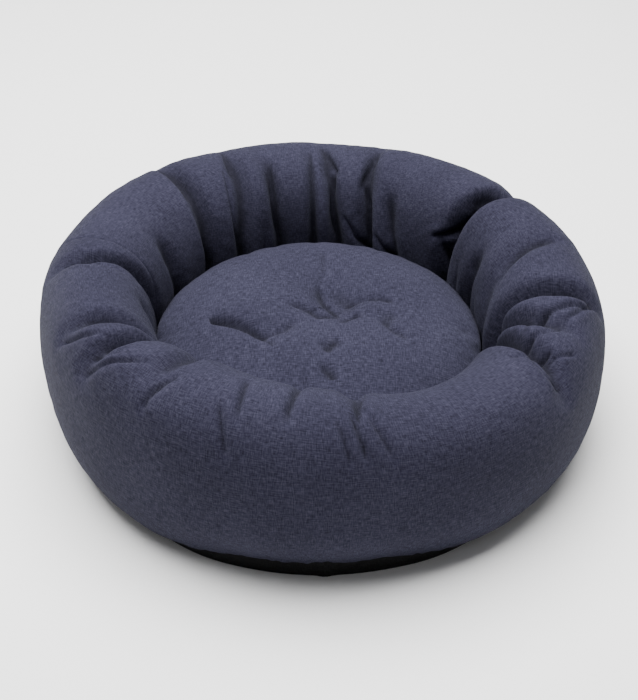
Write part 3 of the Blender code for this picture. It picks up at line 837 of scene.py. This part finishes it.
def make_base():
    """The black base: a flat disc whose rim turns up the ring to the seam."""
    theta = np.arange(RING_COLUMNS) * FULL_TURN / RING_COLUMNS
    opening = ZIP_HALF_OPENING * inside_arc(theta, ZIP_ARC, ZIP_TAPER)
    rim = angle_at(seam_height(theta) - BASE_SEAM[1].y * opening)
    foot = angle_at(0.0)
    t = foot + (rim - foot) * np.linspace(0, 1, 14)[:, None]
    half = half_width(theta[None], np.clip(t / angle_at(BACK_SEAM_HEIGHT), 0, 1))
    r, z = superellipse(t, WELL_RADIUS + half, half, WAIST, 1.0, WAIST + SINK, RING_POWERS)
    steep = (1 - beside_zip(theta))[None]
    up = z / z[-1:]
    r += steep * (r[-1:] - BASE_RIM_LEAN * (1 - up) - r) - BASE_RIM_SETBACK * up
    flat = np.linspace(0.004, 1, 24)[:-1, None] * r[:1]
    r = np.concatenate([flat, r])[::-1]
    z = np.concatenate([np.zeros_like(flat), z])[::-1]
    steps = np.hypot(np.diff(r, axis=0), np.diff(z, axis=0)).cumsum(axis=0)
    along = np.concatenate([np.zeros((1, RING_COLUMNS)), steps])
    uv = np.stack([np.broadcast_to(theta * BED_RADIUS, r.shape), along], -1)
    base = grid_object("base_cloth", round_points(r, z, theta), uv)
    thick = base.modifiers.new("cloth", "SOLIDIFY")
    thick.thickness = BASE_CLOTH
    thick.offset = -1
    base.data.materials.append(BLACK)
    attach(base, "bed")
    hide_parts("base_panel")


def make_coils(name, seam, arc, body):
    """Two rows of a coil zip's nylon turns along an arc of a seam."""
    place, up, out = seam
    turns = round((arc[1] - arc[0]) * place.x / ZIP_PITCH)
    phase = np.linspace(0, turns * FULL_TURN, turns * 6)
    theta = arc[0] + (arc[1] - arc[0]) * phase / phase[-1]
    for side, row in ((1, "upper"), (-1, "lower")):
        along = side * (ZIP_CHAIN_GAP + ZIP_COIL_WIDTH) / 2 + np.cos(phase) * (ZIP_COIL_WIDTH / 2 - ZIP_WIRE)
        deep = -ZIP_COIL_DEPTH + np.sin(phase) * (ZIP_COIL_HEIGHT / 2 - ZIP_WIRE)
        r = place.x + up.x * along + out.x * deep
        z = place.y + up.y * along + out.y * deep
        coil = tube(f"{name}_turns_{row}", round_points(r, z, theta), ZIP_WIRE)
        coil.data.materials.append(COIL)
        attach(coil, body)
        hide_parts(f"{name}_coil_{row}")


# ---------------------------------------------------------------- the cushion

# Folds of the cushion's top, in plan: both ends, depth, width and bow.
CUSHION_FOLDS = (
    ((-0.180, -0.002), (-0.112, -0.026), 0.0050, 0.0050, 0.04),
    ((-0.132, -0.018), (-0.064, -0.062), 0.0130, 0.0070, 0.05),
    ((-0.076, -0.060), (-0.024, -0.026), 0.0070, 0.0080, -0.10),
    ((-0.070, -0.058), (-0.050, -0.082), 0.0040, 0.0050, 0.0),
    ((0.002, 0.056), (0.028, -0.012), 0.0090, 0.0060, -0.10),
    ((0.004, 0.140), (0.002, 0.052), 0.0030, 0.0060, 0.05),
    ((-0.036, 0.008), (0.002, -0.020), 0.0050, 0.0050, 0.10),
    ((-0.002, -0.018), (0.026, -0.012), 0.0050, 0.0045, 0.0),
    ((0.028, -0.026), (0.058, -0.006), 0.0050, 0.0045, 0.10),
    ((0.064, 0.026), (0.096, 0.013), 0.0045, 0.0050, 0.08),
    ((0.080, -0.022), (0.112, -0.060), 0.0045, 0.0055, -0.10),
    ((0.034, 0.020), (0.070, 0.026), 0.0040, 0.0060, 0.06),
    ((0.022, -0.066), (0.008, -0.090), 0.0045, 0.0060, 0.0),
    ((0.004, -0.112), (0.024, -0.150), 0.0045, 0.0065, 0.10),
)
# Hollows and swells of the stuffing under it: place, height and spread.
CUSHION_SWELLS = (
    ((-0.095, 0.055), 0.007, 0.050),
    ((-0.120, -0.075), 0.006, 0.045),
    ((-0.030, -0.090), 0.005, 0.040),
    ((0.100, 0.060), 0.006, 0.045),
    ((0.086, -0.018), -0.009, 0.018),
    ((0.052, 0.004), 0.005, 0.020),
    ((0.110, -0.100), 0.004, 0.045),
    ((0.014, -0.077), -0.006, 0.016),
    ((0.012, -0.125), -0.005, 0.018),
    ((-0.060, -0.040), -0.006, 0.026),
    ((-0.085, -0.005), 0.006, 0.032),
)


def cushion_section():
    """Radii and heights evenly along the cushion's cloth from the top's middle, and the seam's row."""
    t = np.linspace(pi / 2, -pi / 2, SECTION_STEPS)
    rise = CUSHION_TOP - CUSHION_WAIST
    sizes = (0.0, CUSHION_RADIUS, CUSHION_WAIST, rise, CUSHION_DROP, CUSHION_POWERS)
    r, z = superellipse(t, *sizes)
    along = np.concatenate([[0.0], np.cumsum(np.hypot(np.diff(r), np.diff(z)))])
    wanted = np.linspace(0.0006, along[-1] - 0.0006, CUSHION_ROWS)
    t = np.interp(wanted, along, t)
    r, z = superellipse(t, *sizes)
    seam_row = int(np.argmin(np.abs(z - CUSHION_SEAM) + (t > 0)))
    r[seam_row], z[seam_row] = CUSHION_SEAM_FRAME[0]
    return r, np.maximum(z, CUSHION_FLOOR), wanted, seam_row


def cushion_relief(x, y):
    """The tuft's dip with the hollows and swells round it, over the plan."""
    dip = CUSHION_TOP - TACK_HIGH.z + TACK_CLEARANCE
    groove = radians(-65)
    lengthways = (x - TUFT.x) * cos(groove) + (y - TUFT.y) * sin(groove)
    sideways = (y - TUFT.y) * cos(groove) - (x - TUFT.x) * sin(groove)
    height = -dip * np.exp(-((lengthways / 0.042) ** 2) - (sideways / 0.022) ** 2)
    for (sx, sy), rise, spread in CUSHION_SWELLS:
        height += rise * np.exp(-(((x - sx) ** 2 + (y - sy) ** 2) / spread**2))
    return height


def settled_cushion():
    """The cushion's cloth settled over its stuffing, its map and its seam's row."""
    theta = np.arange(CUSHION_COLUMNS) * FULL_TURN / CUSHION_COLUMNS
    r, z, along, seam_row = cushion_section()
    r, z = np.repeat(r[:, None], CUSHION_COLUMNS, 1), np.repeat(z[:, None], CUSHION_COLUMNS, 1)
    points = round_points(r, z, theta)
    x, y = points[..., 0], points[..., 1]
    top = smooth(z, CUSHION_WAIST, CUSHION_TOP)
    points[..., 2] += top * cushion_relief(x, y) + np.random.default_rng(3).normal(0, 0.0003, r.shape)
    rest = points.copy()
    rest[..., :2] *= 1.0 + 0.07 * top[..., None]
    uv = along[:, None, None] * np.stack([np.cos(theta), np.sin(theta)], -1)[None]
    cushion = grid_object("cushion_cover", points, uv)
    k = np.arange(CUSHION_ROWS * CUSHION_COLUMNS).reshape(CUSHION_ROWS, CUSHION_COLUMNS)
    tuft = k[(np.hypot(x - TUFT.x, y - TUFT.y) < TUFT_GRIP) & (top > 0.5)]
    held = np.concatenate([k[seam_row:].ravel(), tuft])
    rest = rest.reshape(-1, 3)
    run_cloth(cushion, held, rest, frames=20, pressure=2.5, stiffness=15.0, bending=0.5, cap=0.016)
    settled = coordinates(cushion.data).reshape(CUSHION_ROWS, CUSHION_COLUMNS, 3)
    bpy.data.objects.remove(cushion)
    settled = doubled(doubled(eased(settled, 1), 0, False), 1, True)
    return settled, doubled(doubled(uv, 0, False), 1, True), 2 * seam_row


def folded_cushion(settled, seam_row):
    """The settled cushion with its finer folds, kept inside its radius."""
    folded = settled.copy()
    x, y, z = np.moveaxis(settled, -1, 0)
    height = sum(fold(x, y, *one) for one in CUSHION_FOLDS)
    height *= smooth(z, CUSHION_WAIST, CUSHION_TOP - 0.015) * (np.arange(len(z)) < seam_row / 2)[:, None]
    folded[..., 2] += height
    shrink = np.minimum(1.0, CUSHION_RADIUS / np.maximum(np.hypot(x, y), 1e-6))
    folded[..., :2] *= shrink[..., None]
    return folded


def opened_at_zip(folded, seam_row):
    """The cushion's top and bottom panels, a little apart along the zip."""
    theta = np.arange(2 * CUSHION_COLUMNS) * pi / CUSHION_COLUMNS
    opening = ZIP_HALF_OPENING * inside_arc(theta, CUSHION_ZIP_ARC, ZIP_TAPER)
    up = CUSHION_SEAM_FRAME[1]
    gap = round_points(opening * up.x, opening * up.y, theta)
    upper, lower = folded[: seam_row + 1].copy(), folded[seam_row:].copy()
    upper[-1] += gap
    upper[-2] = (upper[-1] + upper[-3]) / 2
    lower[0] -= gap
    lower[1] = (lower[0] + lower[2]) / 2
    return upper, lower


def make_cushion():
    """The cushion's two panels and its stuffing."""
    settled, uv, seam_row = settled_cushion()
    upper, lower = opened_at_zip(folded_cushion(settled, seam_row), seam_row)
    for name, node, grid, grid_uv in (
        ("cushion_top", "cushion_top_panel", upper, uv[: seam_row + 1]),
        ("cushion_bottom", "cushion_bottom_panel", lower, uv[seam_row:]),
    ):
        piece = grid_object(name, grid, grid_uv)
        mark_painted_crease_shade(piece, grid)
        close_pole(piece, 2 * CUSHION_COLUMNS, first=grid is upper, last=grid is lower)
        piece.data.materials.append(SLATE)
        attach(piece, "cushion")
        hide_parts(node)
    fill = inset_copy("cushion_stuffing", settled[4:-4], 0.018)
    close_pole(fill, CUSHION_COLUMNS, first=True, last=True)
    fill.data.materials.append(FIBRE)
    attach(fill, "cushion")
    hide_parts("cushion_fill")


def close_pole(obj, around, first=False, last=False):
    """Fills the small round hole at a grid's first or last row, which has this many points around."""
    bm = bmesh.new()
    bm.from_mesh(obj.data)
    bm.verts.ensure_lookup_table()
    count = len(bm.verts)
    ends = [range(around)] if first else []
    ends += [range(count - around, count)] if last else []
    for ring in ends:
        face = bm.faces.new([bm.verts[k] for k in ring])
        face.smooth = True
    bmesh.ops.recalc_face_normals(bm, faces=bm.faces)
    bm.to_mesh(obj.data)
    bm.free()


def finish_cad_pieces():
    """The hard pieces and trims keep their CAD shapes and take finer materials."""
    finishes = {
        "inner_seam_binding": TAPE,
        "cushion_tack": THREAD,
        "cushion_care_label": SATIN,
    }
    for zip_name in ("base_zip", "cushion_zip"):
        finishes |= {f"{zip_name}_tape_{row}": TAPE for row in ("upper", "lower")}
        finishes |= {f"{zip_name}_{part}": NICKEL for part in ("top_stop", "bottom_stop", "slider", "pull")}
    for node, finish in finishes.items():
        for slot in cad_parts[node].material_slots:
            slot.material = finish


# ---------------------------------------------------------------- stage


def make_stage():
    """A plain pale floor under a wide soft light from above and a weak one from the side."""
    bpy.ops.mesh.primitive_plane_add(size=30)
    floor = bpy.context.object
    floor.name = "floor"
    floor.data.materials.append(Nodes("pale").finish((0.9, 0.9, 0.9, 1), 0.9))
    world = bpy.data.worlds.new("studio")
    bpy.context.scene.world = world
    world.use_nodes = True
    world.node_tree.nodes["Background"].inputs["Color"].default_value = (1, 1, 1, 1)
    world.node_tree.nodes["Background"].inputs["Strength"].default_value = 0.24
    for name, place, size, power in (
        ("overhead", (-0.2, 0.35, 2.5), 2.6, 300.0),
        ("side", (-1.8, 0.6, 1.7), 1.4, 4.0),
    ):
        light = bpy.data.lights.new(name, "AREA")
        light.size = size
        light.energy = power
        lamp = bpy.data.objects.new(name, light)
        bpy.context.scene.collection.objects.link(lamp)
        lamp.location = place
        lamp.rotation_euler = (-Vector(place)).to_track_quat("-Z", "Y").to_euler()


def make_camera():
    """The photograph's viewpoint: in front, above and level from side to side."""
    elevation = radians(39.54)
    tilt = radians(1.79)
    distance = 1.801
    data = bpy.data.cameras.new("camera")
    data.lens = 71.4857
    camera = bpy.data.objects.new("camera", data)
    bpy.context.scene.collection.objects.link(camera)
    camera.location = (0.0016, -distance * cos(elevation), distance * sin(elevation))
    camera.rotation_euler = (pi / 2 - elevation + tilt, 0, 0)
    bpy.context.scene.camera = camera


make_camera()
make_ring()
make_base()
make_coils("base_zip", BASE_SEAM, ZIP_ARC, "bed")
make_cushion()
make_coils("cushion_zip", CUSHION_SEAM_FRAME, CUSHION_ZIP_ARC, "cushion")
finish_cad_pieces()
make_stage()
